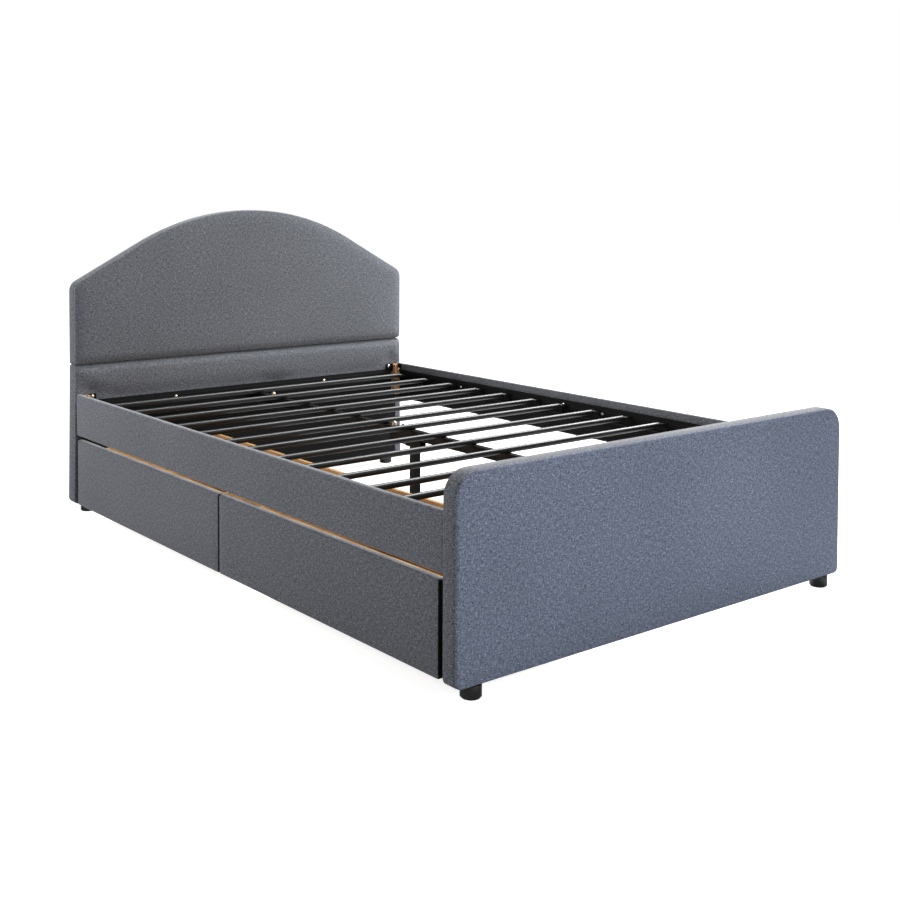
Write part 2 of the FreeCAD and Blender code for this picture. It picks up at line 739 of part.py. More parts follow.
def build_drawer(name, start):
    """One drawer: a cloth-covered front, an open wooden box and four casters.
    Start is the expression of the front's end nearer the foot of the bed."""
    face = "-rail_face"
    back_of_front = "-rail_face + front_depth"
    end = "(%s) + front_length" % start
    outer = box(name + "_cover_outer", (face, back_of_front), (start, end), ("ground_gap", "front_top"))
    board_space = ((face + " + skin", back_of_front), ("(%s) + turn" % start, "(%s) - turn" % end),
                   ("ground_gap + turn", "front_top - turn"))
    inner = box(name + "_cover_inner", *board_space)
    node(cut(name + "_cover_cut", outer, inner), name + "_front_cover")
    node(box(name + "_board_box", *board_space), name + "_front_board")

    low_y = "(%s) + box_offset" % start
    high_y = "%s + box_length" % low_y
    low_x = back_of_front
    high_x = "-rail_face + front_depth + box_depth"
    wall_z = ("box_base + base_wall", "box_top")
    node(box(name + "_front_box", (low_x, low_x + " + box_wall"), (low_y, high_y), wall_z),
         name + "_box_front")
    node(box(name + "_back_box", (high_x + " - box_wall", high_x), (low_y, high_y), wall_z),
         name + "_box_back")
    side_x = (low_x + " + box_wall", high_x + " - box_wall")
    sides = [box(name + "_side_near_foot", side_x, (low_y, low_y + " + box_wall"), wall_z),
             box(name + "_side_near_head", side_x, (high_y + " - box_wall", high_y), wall_z)]
    node(joined(name + "_side_pair", sides), name + "_box_sides")
    node(box(name + "_base_box", (low_x, high_x), (low_y, high_y), ("box_base", "box_base + base_wall")),
         name + "_box_bottom")

    forks = []
    places = [("front", "foot", "-rail_face + front_depth + caster_front", low_y + " + caster_side"),
              ("front", "head", "-rail_face + front_depth + caster_front", high_y + " - caster_side"),
              ("back", "foot", high_x + " - caster_back", low_y + " + caster_side"),
              ("back", "head", high_x + " - caster_back", high_y + " - caster_side")]
    for depth, side, x, y in places:
        tag = "%s_%s_%s" % (name, depth, side)
        forks.append(build_fork(tag + "_fork", x, y))
        build_wheel(tag + "_wheel", x, y)
    node(joined(name + "_fork_set", forks), name + "_caster_forks")


def build_drawers():
    first = "-bed_length / 2 + footboard_depth + front_clearance"
    build_drawer("foot_drawer", first)
    build_drawer("head_drawer", first + " + front_length + front_gap")


frame_bolts = build_bolts()
build_headboard(frame_bolts)
build_footboard(frame_bolts)
build_feet()
build_rails(frame_bolts)
build_side_angles(frame_bolts)
build_cross_bars(frame_bolts)
build_centre_beam(frame_bolts)
build_centre_leg()
build_slats()
build_corners(frame_bolts)
build_drawers()

doc.recompute()
for item in doc.Objects:
    if "Invalid" in item.State or "Error" in item.State:
        raise RuntimeError("%s did not recompute: %s" % (item.Label, item.State))

os.makedirs("parts", exist_ok=True)
for item in nodes:
    if item.Shape.isNull() or not item.Shape.isValid():
        raise RuntimeError("%s has no valid shape" % item.Label)
    item.Shape.exportStep("parts/%s.step" % item.Label)
print(len(nodes), "nodes written")
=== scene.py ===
import math

import bpy
import numpy as np
from mathutils import Matrix, Vector, geometry, noise


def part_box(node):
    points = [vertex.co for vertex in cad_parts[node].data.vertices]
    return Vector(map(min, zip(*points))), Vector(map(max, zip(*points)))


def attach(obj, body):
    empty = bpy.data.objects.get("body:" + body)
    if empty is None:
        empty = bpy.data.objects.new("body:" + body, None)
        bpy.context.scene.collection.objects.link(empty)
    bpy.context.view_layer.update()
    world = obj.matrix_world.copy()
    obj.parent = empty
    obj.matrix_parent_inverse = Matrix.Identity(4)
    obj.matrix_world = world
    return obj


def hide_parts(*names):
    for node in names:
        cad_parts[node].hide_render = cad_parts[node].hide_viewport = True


# The looks of an upholstered platform bed with two storage drawers, built round its CAD frame.
# Frame: metres, +Z up from the floor, +Y towards the headboard, +X to the right as seen from
# the foot end. The drawers are on the left side and pull out towards -X.

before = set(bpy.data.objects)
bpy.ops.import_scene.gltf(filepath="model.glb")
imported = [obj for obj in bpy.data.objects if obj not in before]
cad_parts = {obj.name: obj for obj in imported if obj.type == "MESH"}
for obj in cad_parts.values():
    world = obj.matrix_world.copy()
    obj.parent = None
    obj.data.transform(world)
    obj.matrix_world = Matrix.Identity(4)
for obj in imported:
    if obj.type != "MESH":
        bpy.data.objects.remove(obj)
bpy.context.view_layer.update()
scene = bpy.context.scene
scene.view_settings.view_transform = "Standard"

# upholstery: the sewn line and the cloth's turns
SEAM_BACK = 0.009          # the seam lies this far behind the front of a pad
SEAM_DEPTH = 0.0028        # how deep the sewn line is pulled in
SEAM_WIDTH = 0.0058
SEAM_LIP = 0.0004          # the cloth in front of the seam starts this far inside the band
EDGE_ROUND = 0.006         # roll of the cloth over an edge
REAR_TURN = 0.034          # cloth turned on to the back of the headboard
REAR_FLAT = 0.012          # part of it that lies flat, next to the roll
REAR_FOLD = 0.0008         # how far its hem is tucked in
BACK_CLOTH_INSET = 0.024
BACK_CLOTH_ROUND = 0.022
BACK_CLOTH_STEP = 0.0018   # room for the cloth on the back, behind the cloth of the pads

# the headboard's outline
ARCH_RADIUS = 0.940
SHOULDER_HEIGHT = 0.797
SHOULDER_ROUND = 0.042
SHOULDER_SLOPE = 0.6       # how fast the shoulders' height falls as the outline shrinks
SPLIT_ROUND = 0.0075       # corners of the pads beside the headboard's tuck
SPLIT_HALF = 0.0003        # each pad stops this short of the middle of the tuck
TUCK_ROLL = 0.022          # height of the roll of each pad into the tuck
TUCK_DEPTH = 0.023         # how far the tuck is pulled in
TUCK_REACH = 0.034         # how far back from the front it acts
TUCK_WAVES = ((0.19, 0.30, 0.0), (0.05, 0.12, 4.0))    # length, share of the roll, place in the noise
LOWER_ROUND = 0.020
FOOT_SPREAD = 0.007        # the lower pad widens this much each side towards the floor
RAIL_MARGIN = 0.006        # height kept flat above the rails and above the black lining
RAIL_ENDS = (0.54, 0.10)   # where it starts to be held by the rails' ends, and over what width
SWELL_HEIGHT = 0.042       # height over which the lower pad swells above that
HELD_RISE = 0.0015         # rise of the cloth where the rails hold it
UNDER_LINING = 0.0012      # how far it lies behind the front of the black lining

# crowns: height, and the width in which the edge rises
UPPER_CROWN = (0.0075, 0.050)
LOWER_CROWN = (0.0068, 0.032)
FOOTBOARD_CROWN = (0.0050, 0.040)
DRAWER_CROWN = (0.0022, 0.050)
RAIL_CROWN = 0.0018
EDGE_SHARE = 0.62          # share of a crown that its edge has; the rest is blown up
LOOSENESS = ((0.16, 0.00045, 0.0), (0.05, 0.00025, 3.0))    # size of the lumps, height, seed

FOOTBOARD_ROUND = 0.060
FOOTBOARD_LOW_ROUND = 0.016
FOOTBOARD_REAR_ROUND = 0.004
DRAWER_ROUND = 0.007
DRAWER_EDGE = 0.0055
DRAWER_SWELL = 0.0015      # the cloth stands this much above a drawer's front

# meshes
FACE_STEP = 0.012          # mesh size across a pad's face
LINE_STEP = 0.010          # mesh size along a pad's edge
ARC_STEP = math.radians(9)
ROLL_STEPS = 4             # facets of the cloth's roll at the back
QUARTER_STEPS = 5          # facets of a quarter round


# ---------------------------------------------------------------- shader helpers

class Shader:
    """One material's nodes; each call adds a node and gives back its output."""

    def __init__(self, name, surface):
        self.material = bpy.data.materials.new(name)
        self.material.use_nodes = True
        self.nodes = self.material.node_tree.nodes
        self.links = self.material.node_tree.links
        self.surface = self.nodes["Principled BSDF"]
        for socket, value in surface.items():
            self.set(self.surface, socket, value)
        found = self.nodes.new("ShaderNodeTexCoord")
        self.place = found.outputs["Object"]
        self.normal = found.outputs["Normal"]

    def set(self, node, socket, value):
        if isinstance(value, bpy.types.NodeSocket):
            self.links.new(value, node.inputs[socket])
        else:
            node.inputs[socket].default_value = value

    def add(self, kind, inputs, output=0, **settings):
        node = self.nodes.new("ShaderNode" + kind)
        for name, value in settings.items():
            setattr(node, name, value)
        for socket, value in inputs.items():
            self.set(node, socket, value)
        return node.outputs[output]

    def maths(self, operation, a, b=0.0):
        return self.add("Math", {0: a, 1: b}, operation=operation)

    def scaled(self, vector, factors):
        return self.add("VectorMath", {0: vector, 1: factors}, operation="MULTIPLY")

    def scaled_axis(self, axis, factor):
        return self.maths("MULTIPLY", self.split(self.place)[axis], factor)

    def split(self, vector):
        node = self.nodes.new("ShaderNodeSeparateXYZ")
        self.links.new(vector, node.inputs[0])
        return node.outputs

    def noise(self, vector, scale, detail=2.0, roughness=0.5):
        """Noise of about this many lumps a metre; three numbers stretch it."""
        if not isinstance(scale, (int, float)):
            vector, scale = self.scaled(vector, scale), 1.0
        return self.add("TexNoise", {"Vector": vector, "Scale": scale, "Detail": detail,
                                     "Roughness": roughness})

    def ramp(self, factor, stops):
        node = self.nodes.new("ShaderNodeValToRGB")
        self.links.new(factor, node.inputs[0])
        elements = node.color_ramp.elements
        while len(elements) < len(stops):
            elements.new(0.5)
        for element, (position, colour) in zip(elements, stops):
            element.position = position
            element.color = (*colour, 1.0)
        return node.outputs[0]

    def spread(self, factor, low, high):
        """A noise from about 0.3 to 0.7 mapped on to low to high."""
        return self.add("MapRange", {0: factor, 1: 0.3, 2: 0.7, 3: low, 4: high})

    def mix(self, factor, a, b, blend="MIX"):
        return self.add("Mix", {0: factor, 6: a, 7: b}, output=2, data_type="RGBA", blend_type=blend)

    def bump(self, height, distance, strength=1.0, below=None):
        inputs = {"Height": height, "Distance": distance, "Strength": strength}
        if below is not None:
            inputs["Normal"] = below
        return self.add("Bump", inputs)

    def facing(self, axis):
        """1 on faces that look along an axis, either way."""
        return self.maths("GREATER_THAN", self.maths("ABSOLUTE", self.split(self.normal)[axis]), 0.7)

    def cloth_plane(self):
        """Coordinates that lie along the cloth on every side of a piece."""
        x, y, z = self.split(self.place)
        sideways, upward = self.facing(0), self.facing(2)
        across = self.maths("ADD", x, self.maths("MULTIPLY", sideways, self.maths("SUBTRACT", y, x)))
        up = self.maths("ADD", z, self.maths("MULTIPLY", upward, self.maths("SUBTRACT", y, z)))
        return self.add("CombineXYZ", {0: across, 1: up})


def shade(grey, tint=(1.0, 1.0, 1.0)):
    return tuple(grey * t for t in tint)


# ---------------------------------------------------------------- materials

BLACK = (0.94, 1.0, 1.10)  # the tint of black things
THREAD = 0.0013            # pitch of the weave
SLUB = (75, 560, 1)        # lumps a metre along and across a thread
FLECK, TUFT = 400, 185     # flecks and tufts a metre
THREAD_SHARE, FLECK_SHARE, TUFT_SHARE = 0.22, 0.33, 0.23
BLACK_SHANK_AXIS = 0.6763       # the shanks of the slat bolts: place across, radius and top
BLACK_SHANK_RADIUS = 0.0035
BLACK_SHANK_TOP = 0.3688


def upholstery(name, grey, tint, sheen):
    """Heathered plain weave: threads of several greys, slubs, a soft nap."""
    s = Shader(name, {"Roughness": 0.95, "Specular IOR Level": 0.2, "Sheen Weight": sheen,
                      "Sheen Roughness": 0.4})
    plane = s.cloth_plane()
    weft = s.noise(plane, SLUB, 2)
    warp = s.noise(plane, (SLUB[1], SLUB[0], 1), 2)
    fleck = s.noise(plane, FLECK, 2)
    tuft = s.noise(plane, TUFT, 2)
    threads = s.maths("ADD", s.maths("MULTIPLY", weft, THREAD_SHARE), s.maths("MULTIPLY", warp, THREAD_SHARE))
    specks = s.maths("ADD", s.maths("MULTIPLY", fleck, FLECK_SHARE), s.maths("MULTIPLY", tuft, TUFT_SHARE))
    tone = s.maths("ADD", threads, specks)
    colour = s.ramp(tone, ((0.40, shade(grey * 0.34, tint)), (0.47, shade(grey * 0.78, tint)),
                           (0.53, shade(grey * 1.16, tint)), (0.60, shade(grey * 2.15, tint))))
    drift = s.spread(s.noise(s.place, 2.6, 3), 0.93, 1.07)
    s.set(s.surface, "Base Color", s.mix(1.0, colour, drift, "MULTIPLY"))

    across, up, _ = s.split(s.scaled(plane, (math.pi / THREAD,) * 3))
    knots = s.maths("ABSOLUTE", s.maths("MULTIPLY", s.maths("SINE", across), s.maths("SINE", up)))
    weave = s.bump(knots, 0.0003, 0.35)
    s.set(s.surface, "Normal", s.bump(specks, 0.0011, 0.6, weave))
    return s.material


def black_cloth():
    """Spun-bonded lining with rows of small pressed dimples."""
    s = Shader("black_lining", {"Roughness": 0.9, "Specular IOR Level": 0.15, "Sheen Weight": 0.03})
    plane = s.cloth_plane()
    fibres = s.noise(plane, 260, 5, 0.7)
    stops = ((0.35, shade(0.004, BLACK)), (0.65, shade(0.010, BLACK)))
    s.set(s.surface, "Base Color", s.ramp(fibres, stops))
    dimples = s.add("TexVoronoi", {"Vector": plane, "Scale": 420, "Randomness": 0.15})
    s.set(s.surface, "Normal", s.bump(dimples, 0.0003, 0.5, s.bump(s.noise(plane, 14, 3), 0.004, 0.3)))
    return s.material


def painted_steel(name, gloss, specular):
    """Black powder coat: a fine orange peel, cloudy gloss and faint rubbed streaks."""
    s = Shader(name, {"Specular IOR Level": specular})
    cloud = s.noise(s.place, 11, 4)
    rub = s.noise(s.place, (7, 160, 160), 4)
    stops = ((0.45, shade(0.004, BLACK)), (0.72, shade(0.011, BLACK)))
    s.set(s.surface, "Base Color", s.ramp(rub, stops))
    s.set(s.surface, "Roughness", s.spread(cloud, gloss, gloss + 0.12))
    s.set(s.surface, "Normal", s.bump(s.noise(s.place, 1500, 2), 0.00012, 0.35))
    return s.material


def zinc():
    """Bright zinc with a yellow bloom here and there; the shanks that hold a slat are coloured black below a
    set height.
    """
    s = Shader("zinc_plate", {"Metallic": 1.0})
    bloom = s.noise(s.place, 90, 3)
    plated = s.ramp(bloom, ((0.42, (0.62, 0.62, 0.62)), (0.62, (0.72, 0.56, 0.34))))
    x, _, z = s.split(s.place)
    # the shanks of the slat bolts, near their axis and below a set height, are coloured black
    off_axis = s.maths("ABSOLUTE", s.maths("SUBTRACT", s.maths("ABSOLUTE", x), BLACK_SHANK_AXIS))
    black_shank = s.maths("MULTIPLY", s.maths("LESS_THAN", off_axis, BLACK_SHANK_RADIUS),
                     s.maths("LESS_THAN", z, BLACK_SHANK_TOP))
    s.set(s.surface, "Base Color", s.mix(black_shank, plated, (*shade(0.006, BLACK), 1.0)))
    s.set(s.surface, "Roughness", s.spread(s.noise(s.place, 700, 2), 0.2, 0.38))
    return s.material


def timber(name, pale, dark, along, thin=None, ply=0.0023):
    """Wood whose grain runs along one axis; thin names a panel's thickness, where plies show."""
    s = Shader(name, {"Specular IOR Level": 0.3})
    fine = [230.0, 230.0, 230.0]
    fine[along] = 9.0
    broad = [26.0, 26.0, 26.0]
    broad[along] = 2.0
    grain = s.noise(s.place, tuple(fine), 5, 0.6)
    figure = s.noise(s.place, tuple(broad), 3)
    tone = s.maths("ADD", s.maths("MULTIPLY", grain, 0.6), s.maths("MULTIPLY", figure, 0.4))
    middle = tuple((a + b) / 2 for a, b in zip(pale, dark))
    colour = s.ramp(tone, ((0.38, dark), (0.5, middle), (0.6, pale)))
    if thin is not None:
        layers = s.maths("SINE", s.scaled_axis(thin, math.pi / ply))
        core = s.mix(s.maths("MULTIPLY", s.maths("GREATER_THAN", layers, 0.0), 0.55), colour,
                     (*shade(0.5, dark), 1.0))
        edge = s.maths("SUBTRACT", 1.0, s.facing(thin))
        colour = s.mix(edge, colour, core)
    s.set(s.surface, "Base Color", colour)
    s.set(s.surface, "Roughness", s.spread(grain, 0.55, 0.75))
    s.set(s.surface, "Normal", s.bump(grain, 0.0005, 0.4))
    return s.material


def plastic(name, grey, gloss):
    """Moulded plastic with a fine spark-eroded texture and scuffs."""
    s = Shader(name, {"Specular IOR Level": 0.5})
    scuff = s.noise(s.place, (120, 120, 300), 4, 0.7)
    stops = ((0.4, shade(grey, BLACK)), (0.75, shade(grey * 2.2, BLACK)))
    s.set(s.surface, "Base Color", s.ramp(scuff, stops))
    s.set(s.surface, "Roughness", s.spread(scuff, gloss, gloss + 0.18))
    s.set(s.surface, "Normal", s.bump(s.noise(s.place, 1900, 2), 0.00015, 0.4))
    return s.material


NEUTRAL = (0.945, 1.0, 1.13)    # tints of the two cloths
BLUISH = (0.86, 1.0, 1.37)
PLY_PALE, PLY_DARK = (0.62, 0.40, 0.19), (0.40, 0.23, 0.095)
SOFTWOOD_PALE, SOFTWOOD_DARK = (0.62, 0.36, 0.17), (0.34, 0.16, 0.06)

grey_fabric = upholstery("grey_weave", 0.125, NEUTRAL, 0.30)
front_fabric = upholstery("blue_grey_weave", 0.138, BLUISH, 0.04)
lining = black_cloth()
slat_steel = painted_steel("black_powder_coat", 0.30, 0.4)
frame_steel = painted_steel("satin_powder_coat", 0.45, 0.12)
zinc_plate = zinc()
ply_x = timber("plywood_thin_x", PLY_PALE, PLY_DARK, along=1, thin=0)
ply_y = timber("plywood_thin_y", PLY_PALE, PLY_DARK, along=0, thin=1)
ply_z = timber("plywood_thin_z", PLY_PALE, PLY_DARK, along=1, thin=2)
softwood = timber("corner_softwood", SOFTWOOD_PALE, SOFTWOOD_DARK, along=2)
black_plastic = plastic("black_plastic", 0.004, 0.30)
caster_plastic = plastic("caster_plastic", 0.035, 0.38)


# ---------------------------------------------------------------- outlines and meshes

def divided(points, step):
    """A closed line with its long stretches cut into equal parts."""
    result = []
    for i, here in enumerate(points):
        there = points[(i + 1) % len(points)]
        parts = max(1, round((there - here).length / step))
        result += [here.lerp(there, k / parts) for k in range(parts)]
    return result


def rounded_outline(corners, step=LINE_STEP):
    """A closed line through corners (across, up, radius) that run anticlockwise."""
    points = []
    for i, (across, up, radius) in enumerate(corners):
        here = Vector((across, up))
        before = (Vector(corners[i - 1][:2]) - here).normalized()
        after = (Vector(corners[(i + 1) % len(corners)][:2]) - here).normalized()
        half = before.angle(after) / 2
        centre = here + (before + after).normalized() * (radius / math.sin(half))
        arm = here + before * (radius / math.tan(half)) - centre
        sweep = math.pi - 2 * half
        turns = max(2, math.ceil(sweep / ARC_STEP), math.ceil(radius * sweep / step))
        points += [centre + Matrix.Rotation(sweep * k / turns, 2) @ arm for k in range(turns + 1)]
    return divided(points, step)


def outward(line):
    """The unit normals of a closed anticlockwise line."""
    along = np.roll(line, -1, axis=0) - np.roll(line, 1, axis=0)
    normals = np.stack([along[:, 1], -along[:, 0]], axis=1)
    return normals / np.linalg.norm(normals, axis=1)[:, None]


def edge_distance(points, line):
    """How far each point is from a closed line."""
    best = np.full(len(points), 1e9)
    for a, b in zip(line, np.roll(line, -1, axis=0)):
        span = b - a
        share = np.clip(((points - a) @ span) / (span @ span), 0, 1)
        best = np.minimum(best, np.linalg.norm(points - a - share[:, None] * span, axis=1))
    return best


def inside(points, line):
    """Which points are inside a closed line."""
    odd = np.zeros(len(points), bool)
    for a, b in zip(line, np.roll(line, -1, axis=0)):
        crosses = (a[1] > points[:, 1]) != (b[1] > points[:, 1])
        with np.errstate(divide="ignore", invalid="ignore"):
            at = (b[0] - a[0]) * (points[:, 1] - a[1]) / (b[1] - a[1]) + a[0]
        odd ^= crosses & (points[:, 0] < at)
    return odd


def filled(line, step):
    """An even triangle mesh inside a closed line: its points, the line's own first, and its faces."""
    low, high = line.min(axis=0), line.max(axis=0)
    rows = np.arange(low[1], high[1], step * math.sqrt(3) / 2)
    grid = [(x + (step / 2 if k % 2 else 0), z) for k, z in enumerate(rows)
            for x in np.arange(low[0], high[0], step)]
    grid = np.array(grid)
    grid = grid[inside(grid, line)]
    grid = grid[edge_distance(grid, line) > 0.6 * step]
    points = np.concatenate([line, grid])
    count = len(line)
    ring = [(i, (i + 1) % count) for i in range(count)]
    found = geometry.delaunay_2d_cdt([Vector(p) for p in points], ring, [], 1, 1e-7)
    index = {i: sources[0] for i, sources in enumerate(found[3])}
    return points, [[index[v] for v in face] for face in found[2]]


def swelled(points, faces, held, pressure=4.0, frames=20):
    """How far a cloth of these faces swells when it is blown up from behind, held at some points."""
    mesh = bpy.data.meshes.new("cloth")
    mesh.from_pydata([(x, z, 0.0) for x, z in points], [], faces)
    cloth = bpy.data.objects.new("cloth", mesh)
    scene.collection.objects.link(cloth)
    group = cloth.vertex_groups.new(name="held")
    group.add([int(i) for i in np.flatnonzero(held)], 1.0, "REPLACE")
    modifier = cloth.modifiers.new("cloth", "CLOTH")
    modifier.settings.vertex_group_mass = "held"
    modifier.settings.use_pressure = True
    modifier.settings.uniform_pressure_force = pressure
    modifier.settings.effector_weights.gravity = 0.0
    for number in range(1, frames + 1):
        scene.frame_set(number)
    settled = cloth.evaluated_get(bpy.context.evaluated_depsgraph_get()).data
    heights = np.array([v.co.z for v in settled.vertices])
    scene.frame_set(1)
    bpy.data.objects.remove(cloth)
    return heights


def soft_rise(distance, width):
    """0 at an edge and 1 from width inwards, steep at first."""
    return np.sqrt(1 - (1 - np.clip(distance / width, 0, 1)) ** 2)


def smooth_step(share):
    """0 below 0 and 1 above 1, with a smooth rise between."""
    share = np.clip(share, 0, 1)
    return share * share * (3 - 2 * share)


def ripple(points, size, seed):
    """Smooth unevenness from -1 to 1 with lumps of about that size."""
    return np.array([noise.noise(Vector((p[0] / size, p[1] / size, seed))) for p in points])


def make_object(name, points, faces, materials, indices):
    mesh = bpy.data.meshes.new(name)
    mesh.from_pydata([tuple(p) for p in points], [], faces)
    for material in materials:
        mesh.materials.append(material)
    mesh.polygons.foreach_set("material_index", indices)
    mesh.polygons.foreach_set("use_smooth", [True] * len(faces))
    mesh.validate()
    mesh.update()
    item = bpy.data.objects.new(name, mesh)
    scene.collection.objects.link(item)
    return item


def shell(name, outline, rings, plane, materials, lift, back=False):
    """An upholstered panel. Outline is its widest line; rings run from the back to the front,
    each (inset, out, material of the strip that ends there); plane is (origin, across, up, out);
    lift(points, faces, edge distance) says how far each point of the face stands out."""
    line = np.array([tuple(p) for p in outline])
    normals = outward(line)
    origin, *axes = (np.array(v, float) for v in plane)
    points, faces, indices = [], [], []

    def lay(flat, out):
        return origin + flat[:, :1] * axes[0] + flat[:, 1:] * axes[1] + np.reshape(out, (-1, 1)) * axes[2]

    count = len(line)
    for k, (inset, out, material) in enumerate(rings):
        points.append(lay(line - normals * inset, np.full(count, out)))
        if k:
            low, high = (k - 1) * count, k * count
            for i in range(count):
                j = (i + 1) % count
                faces.append((low + i, low + j, high + j, high + i))
                indices.append(material)
    ends = [(rings[-1], (len(rings) - 1) * count, False)]
    if back:
        ends.append((rings[0], 0, True))
    for (inset, out, material), first, flipped in ends:
        rim = line - normals * inset
        flat, cells = filled(rim, FACE_STEP)
        rise = np.zeros(len(flat)) if flipped else lift(flat, cells, edge_distance(flat, rim))
        rise[:count] = 0.0
        start = sum(len(p) for p in points)
        points.append(lay(flat[count:], out + rise[count:]))
        for cell in cells:
            cell = [v + first if v < count else v - count + start for v in cell]
            faces.append(cell[::-1] if flipped else cell)
            indices.append(material)
    return make_object(name, np.concatenate(points), faces, materials, indices)


def front_roll(radius, inset, out, material):
    """Rings of a quarter round that turns from a side on to the face."""
    rings = []
    for k in range(1, QUARTER_STEPS + 1):
        turn = math.pi / 2 * k / QUARTER_STEPS
        rings.append((inset + radius * (1 - math.cos(turn)), out + radius * math.sin(turn), material))
    return rings


def back_roll(radius, out):
    """Rings of a quarter round that turns from the back on to a side."""
    rings = []
    for k in range(ROLL_STEPS + 1):
        turn = math.pi / 2 * k / ROLL_STEPS
        rings.append((radius * (1 - math.sin(turn)), out + radius * (1 - math.cos(turn)), 0))
    return rings


def seamed_front():
    """Rings of the end of a side band, of the sewn line and of the roll on to the face."""
    seam, third = -SEAM_BACK, SEAM_WIDTH / 3
    rings = [(0.0, seam - SEAM_WIDTH, 0), (SEAM_DEPTH, seam - third, 0),
             (SEAM_DEPTH, seam, 1), (SEAM_LIP, seam + third, 1)]
    return rings + front_roll(EDGE_ROUND, SEAM_LIP, seam + third, 1)


def hand_over(item, body, slot, *nodes):
    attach(item, body)
    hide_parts(*nodes)


def pad_lift(crown, width, seed, held=None):
    """A pad's face: blown up by the cloth simulation to the crown's height, with an edge
    that rises within width and slight unevenness."""
    def lift(points, faces, distance):
        edge = soft_rise(distance, width)
        fixed = distance < 1e-9
        if held is not None:
            fixed = fixed | held(points)
        heights = swelled(points, faces, fixed)
        body = heights / heights.max()
        loose = sum(height * ripple(points, size, seed + more) for size, height, more in LOOSENESS)
        return crown * (EDGE_SHARE * edge + (1 - EDGE_SHARE) * body) + loose * edge
    return lift


# ---------------------------------------------------------------- headboard

def arched_corners(low, high, foot_round, inset=0.0):
    """The headboard's outline: upright sides, straight shoulders and an arch between them."""
    half, peak, radius = high.x - inset, high.z - inset, ARCH_RADIUS - inset
    shoulder = SHOULDER_HEIGHT - SHOULDER_SLOPE * inset
    centre = peak - radius
    turn = math.atan2(shoulder - centre, half) + math.acos(radius / math.hypot(half, shoulder - centre))
    apex = centre + radius / math.sin(turn)
    bottom = low.z + inset
    turned = SHOULDER_ROUND - inset
    return [(-half, bottom, foot_round), (half, bottom, foot_round), (half, shoulder, turned),
            (0.0, apex, radius), (-half, shoulder, turned)]


def tucked(item, front, split, seed):
    """Roll a pad's edge back into the tuck, a little unevenly along it."""
    for vertex in item.data.vertices:
        x, y, z = vertex.co
        uneven = 1 + sum(share * noise.noise(Vector((x / length, seed, row)))
                         for length, share, row in TUCK_WAVES)
        away = min(1.0, abs(z - split) / (TUCK_ROLL * uneven))
        forward = min(1.0, max(0.0, 1 - (y - front) / TUCK_REACH))
        vertex.co.y += TUCK_DEPTH * forward * (1 - math.sqrt(1 - (1 - away) ** 2))


# hollows in the headboard's lower pad: place across and up, reach across and up, depth
HOLLOWS = ((-0.650, 0.430, 0.024, 0.020, 0.0080),
           (-0.686, 0.458, 0.018, 0.040, 0.0030),
           (-0.560, 0.410, 0.040, 0.010, 0.0015),
           (0.085, 0.402, 0.060, 0.017, 0.0110),
           (0.655, 0.440, 0.030, 0.030, 0.0060),
           (0.300, 0.440, 0.080, 0.020, 0.0015))


def hollow(points):
    """How far the hollows press the cloth in at each point."""
    depth = np.zeros(len(points))
    for across, up, reach_across, reach_up, deep in HOLLOWS:
        away = ((points[:, 0] - across) / reach_across) ** 2 + ((points[:, 1] - up) / reach_up) ** 2
        depth += deep * np.exp(-away)
    return depth


def pad_shell(name, corners, plane, back, lift):
    """A headboard pad: cloth turned on to the back, a side band, a seam and a crowned face."""
    rings = [(REAR_TURN, back + REAR_FOLD, 0), (EDGE_ROUND + REAR_FLAT, back, 0)]
    rings += back_roll(EDGE_ROUND, back) + seamed_front()
    return shell(name, rounded_outline(corners), rings, plane, (grey_fabric, grey_fabric), lift)


def build_upper_pad(low, high, split, plane, back):
    low.z = split + SPLIT_HALF
    crown, width = UPPER_CROWN
    upper = pad_shell("headboard_upper", arched_corners(low, high, SPLIT_ROUND), plane, back,
                      pad_lift(crown, width, 1.0))
    tucked(upper, low.y, split, 2.0)
    hand_over(upper, "frame", "grey_fabric", "headboard_upper_pad")


def build_lower_pad(low, high, split, plane, back):
    high.z = split - SPLIT_HALF
    corners = [(low.x, low.z, LOWER_ROUND), (high.x, low.z, LOWER_ROUND),
               (high.x, high.z, SPLIT_ROUND), (low.x, high.z, SPLIT_ROUND)]
    rail_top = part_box("left_rail_cover")[1].z + RAIL_MARGIN
    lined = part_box("headboard_inner_lining")[1]
    lining_top = lined.z + RAIL_MARGIN
    crown, width = LOWER_CROWN
    free = pad_lift(crown, width, 5.0, held=lambda points: points[:, 1] < rail_top)

    def lift(points, faces, distance):
        """The pad swells above the rails, is pulled flat where they are bolted on and lies
        under the black lining below them."""
        across, up = abs(points[:, 0]), points[:, 1]
        held_to = lining_top + (rail_top - lining_top) * smooth_step((across - RAIL_ENDS[0]) / RAIL_ENDS[1])
        share = smooth_step((up - held_to) / SWELL_HEIGHT)
        clear = np.clip(np.maximum(across - lined.x, up - lined.z) / FACE_STEP - 1, 0, 1)
        flat = HELD_RISE * soft_rise(distance, 0.02) * clear - UNDER_LINING * (1 - clear)
        return flat + (free(points, faces, distance) - flat) * share - hollow(points)

    lower = pad_shell("headboard_lower", corners, plane, back, lift)
    for vertex in lower.data.vertices:
        spread = FOOT_SPREAD * (split - vertex.co.z) / (split - low.z)
        vertex.co.x *= 1 + spread / high.x
    tucked(lower, low.y, split, 6.0)
    hand_over(lower, "frame", "grey_fabric", "headboard_lower_pad")


